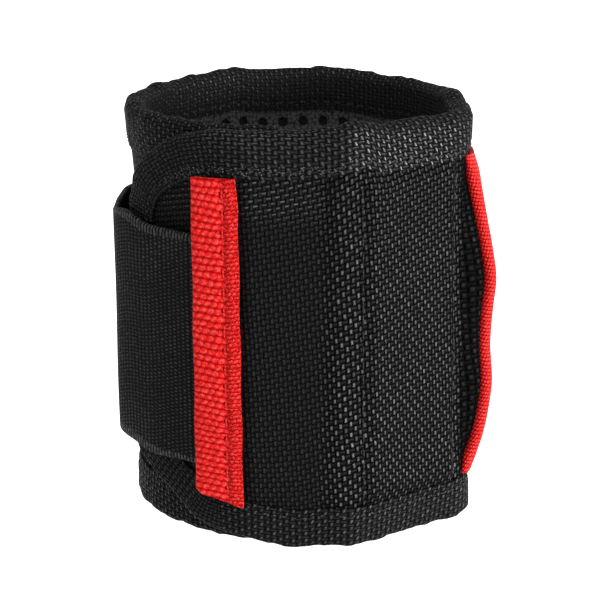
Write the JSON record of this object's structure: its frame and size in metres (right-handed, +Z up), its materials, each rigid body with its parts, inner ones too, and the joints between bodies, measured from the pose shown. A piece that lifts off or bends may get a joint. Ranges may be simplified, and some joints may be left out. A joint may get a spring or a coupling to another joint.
{
  "type": "magnetic wristband",
  "caption": "Padded cloth wristband with magnets sewn into a front panel between two webbing strips, closed by an elastic hook-and-loop strap.",
  "frame": {"origin": "under the middle of the part, on the surface that its bottom edge stands on", "axes": "+Z up along the band's height, -Y out of the left magnet pad, +X to the right strip"},
  "size_m": [0.0804, 0.0796, 0.09],
  "materials": {
    "shell_cloth": "matte",
    "foam": "matte",
    "mesh_lining": "matte",
    "binding_tape": "matte",
    "red_webbing": "matte",
    "elastic": "matte",
    "hook_pile": "satin",
    "loop_pile": "matte",
    "carrier_plastic": "matte",
    "magnet_metal": "satin"
  },
  "bodies": {
    "front": {"front_shell": "shell_cloth", "front_foam": "foam", "front_lining": "mesh_lining", "front_top_binding": "binding_tape", "front_bottom_binding": "binding_tape", "magnet_panel": "shell_cloth", "left_red_webbing": "red_webbing", "right_red_webbing": "red_webbing", "strap_sewn_end": "elastic", "left_magnet_carrier": "carrier_plastic", "left_magnet_1": "magnet_metal", "left_magnet_2": "magnet_metal", "left_magnet_3": "magnet_metal", "left_magnet_4": "magnet_metal", "left_magnet_5": "magnet_metal", "right_magnet_carrier": "carrier_plastic", "right_magnet_1": "magnet_metal", "right_magnet_2": "magnet_metal", "right_magnet_3": "magnet_metal", "right_magnet_4": "magnet_metal", "right_magnet_5": "magnet_metal"},
    "outer_end": {"outer_end_shell": "shell_cloth", "outer_end_foam": "foam", "outer_end_lining": "mesh_lining", "outer_end_binding": "binding_tape"},
    "side": {"side_shell": "shell_cloth", "side_foam": "foam", "side_lining": "mesh_lining", "side_top_binding": "binding_tape", "side_bottom_binding": "binding_tape"},
    "back": {"back_shell": "shell_cloth", "back_foam": "foam", "back_lining": "mesh_lining", "back_binding": "binding_tape", "loop_panel": "loop_pile"},
    "strap_run": {"strap_run": "elastic"},
    "strap_tail": {"strap_tail": "elastic", "hook_patch": "hook_pile"}
  },
  "joints": [
    {"name": "strap_peel", "type": "hinge", "parent": "front", "child": "strap_run", "pos_m": [-0.02399, -0.03532, 0.0425], "axis": [0, 0, 1], "range_deg": [0, 110]},
    {"name": "strap_tail_fold", "type": "hinge", "parent": "strap_run", "child": "strap_tail", "pos_m": [-0.0343, 0.02102, 0.0425], "axis": [0, 0, 1], "range_deg": [0, 44]},
    {"name": "outer_end_fold", "type": "hinge", "parent": "front", "child": "outer_end", "pos_m": [-0.02399, -0.03532, 0.045], "axis": [0, 0, 1], "range_deg": [0, 40]},
    {"name": "side_fold", "type": "hinge", "parent": "front", "child": "side", "pos_m": [0.03518, -0.00333, 0.045], "axis": [0, 0, -1], "range_deg": [0, 40]},
    {"name": "back_fold", "type": "hinge", "parent": "side", "child": "back", "pos_m": [0.02232, 0.02924, 0.045], "axis": [0, 0, -1], "range_deg": [0, 40]}
  ],
  "couplings": [
    {"joint": "strap_tail_fold", "follows": "strap_peel", "ratio": 0.4},
    {"joint": "outer_end_fold", "follows": "strap_peel", "ratio": 0.36},
    {"joint": "side_fold", "follows": "strap_peel", "ratio": 0.36},
    {"joint": "back_fold", "follows": "strap_peel", "ratio": 0.36}
  ]
}
